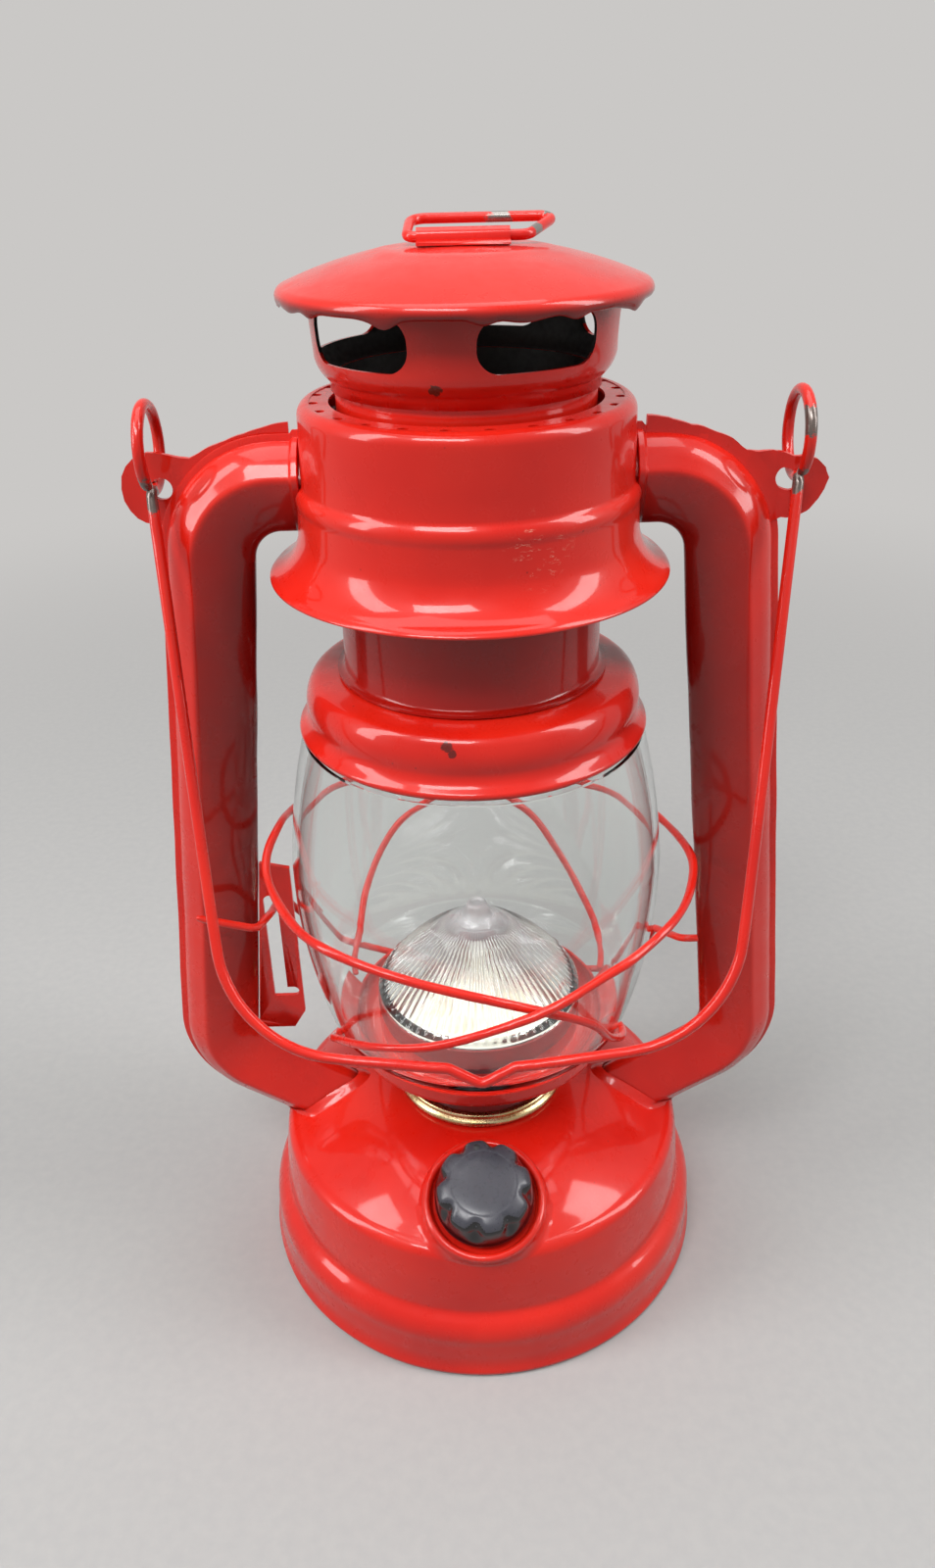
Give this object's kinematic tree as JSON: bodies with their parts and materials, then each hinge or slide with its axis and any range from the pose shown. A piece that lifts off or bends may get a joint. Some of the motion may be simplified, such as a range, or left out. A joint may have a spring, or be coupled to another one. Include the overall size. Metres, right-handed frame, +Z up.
{
  "type": "hurricane lantern",
  "caption": "Red enamelled hurricane lantern with glass globe, guard wires, side tubes, lifting hood, swinging bail, globe lever and a dimmed electric lamp on a battery base.",
  "frame": {"origin": "centre of the base's footprint, on the surface it stands on", "axes": "+Z up along the lantern's axis; -Y towards the front with the knob and the resting bail; +X towards the right side tube seen from the front"},
  "size_m": [0.1528, 0.115, 0.2503],
  "materials": {
    "red_enamel": "gloss enamel",
    "black_plastic": "moulded",
    "cell_jacket": null,
    "plated_steel": "plated",
    "lead_cover": "insulated wire",
    "brass_plate": "dull plated",
    "dark_red_plastic": "moulded",
    "white_board": "coated board",
    "led_lens": "clear yellow",
    "clear_plastic": "clear moulded",
    "clear_glass": "clear",
    "black_knob": "moulded"
  },
  "bodies": {
    "frame": {"base_shell": "red_enamel", "bottom_cover": "black_plastic", "battery_tray": "black_plastic", "battery_left": "cell_jacket", "battery_right": "cell_jacket", "contact_springs": "plated_steel", "contact_plates": "plated_steel", "dimmer_body": "plated_steel", "dimmer_nut": "plated_steel", "lamp_leads": "lead_cover", "neck_ring": "brass_plate", "lamp_post": "dark_red_plastic", "led_board": "white_board", "led_emitters": "led_lens", "lens_cone": "clear_plastic", "side_tube_left": "red_enamel", "side_tube_right": "red_enamel", "lever_bracket": "red_enamel", "drum_shell": "red_enamel", "drum_top_plate": "red_enamel", "hood_spring": "plated_steel"},
    "globe": {"globe_plate": "red_enamel", "globe_glass": "clear_glass", "guard_wire_left": "red_enamel", "guard_wire_right": "red_enamel"},
    "hood": {"globe_collar": "red_enamel", "chimney_tube": "red_enamel", "vent_crown": "red_enamel", "cap": "red_enamel", "ring_strap": "red_enamel"},
    "ring": {"lift_ring": "red_enamel"},
    "bail": {"bail": "red_enamel"},
    "lever": {"lift_lever": "red_enamel"},
    "knob": {"knob": "black_knob", "dimmer_shaft": "plated_steel"},
    "door": {"battery_door": "black_plastic"}
  },
  "joints": [
    {"name": "hood_lift", "type": "slide", "parent": "frame", "child": "hood", "axis": [0, 0, 1], "range_m": [0, 0.012], "stiffness_N_per_m": 120, "springref_m": -0.0125, "deforming": ["hood_spring"]},
    {"name": "ring_flip", "type": "hinge", "parent": "hood", "child": "ring", "pos_m": [0, 0, 0.24705], "axis": [1, 0, 0], "range_deg": [0, 150]},
    {"name": "globe_slide", "type": "slide", "parent": "frame", "child": "globe", "axis": [0, 0, 1], "range_m": [-0.01, 0]},
    {"name": "lever_pivot", "type": "hinge", "parent": "frame", "child": "lever", "pos_m": [0.0565, 0, 0.0875], "axis": [0, 1, 0], "range_deg": [-10.2, 0]},
    {"name": "bail_swing", "type": "hinge", "parent": "frame", "child": "bail", "pos_m": [0, 0, 0.2105], "axis": [-1, 0, 0], "range_deg": [0, 312]},
    {"name": "knob_turn", "type": "hinge", "parent": "frame", "child": "knob", "pos_m": [0, -0.0413, 0.0443], "axis": [0, -0.3584, 0.9336], "range_deg": [-150, 150]},
    {"name": "door_drop", "type": "slide", "parent": "frame", "child": "door", "axis": [0, 0, -1], "range_m": [0, 0.03]}
  ],
  "couplings": [
    {"joint": "lever_pivot", "follows": "globe_slide", "rad_per_m": 17.7}
  ]
}
